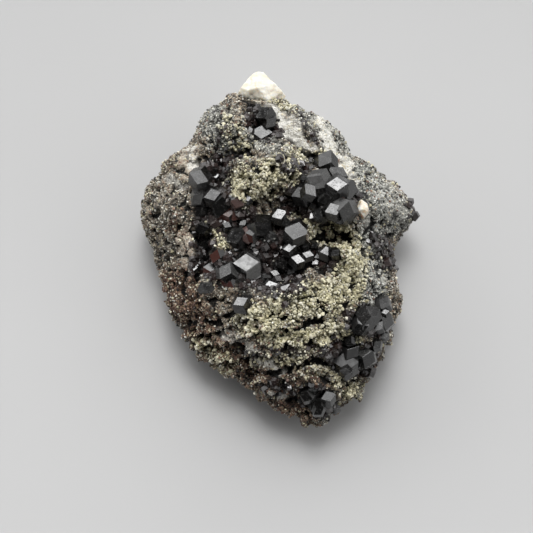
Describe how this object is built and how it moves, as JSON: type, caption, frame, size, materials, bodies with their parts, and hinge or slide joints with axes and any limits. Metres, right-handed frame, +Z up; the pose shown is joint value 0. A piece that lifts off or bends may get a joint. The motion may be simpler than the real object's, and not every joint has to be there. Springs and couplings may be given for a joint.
{
  "type": "garnet in matrix",
  "caption": "Hand specimen of black dodecahedral garnet crystals on a lumpy granular rock with pale calcite, lying on a flat broken back.",
  "frame": {"origin": "middle of the bottom of the specimen's box, on the surface that its flat back lies on", "axes": "+Z up out of the crystal face, +Y along the specimen's length towards the calcite knob, +X across its width"},
  "size_m": [0.0716, 0.093, 0.0412],
  "materials": {
    "rock": "rough granular skarn rock with grains of epidote, feldspar and dark mica",
    "garnet": "near-black crystal faces, glassy and slightly hazed",
    "calcite": "cream-white calcite, broken along dull faces"
  },
  "bodies": {
    "root": {"matrix": "rock", "calcite_knob": "calcite", "calcite_grain": "calcite", "garnet_crust": "garnet", "garnet_crown": "garnet", "garnet_row": "garnet", "garnet_row_end": "garnet", "garnet_tilted": "garnet", "garnet_lower_right": "garnet", "garnet_right_edge": "garnet", "garnet_low_hollow": "garnet", "garnet_foot": "garnet", "garnet_foot_left": "garnet", "garnet_head": "garnet"}
  },
  "joints": []
}
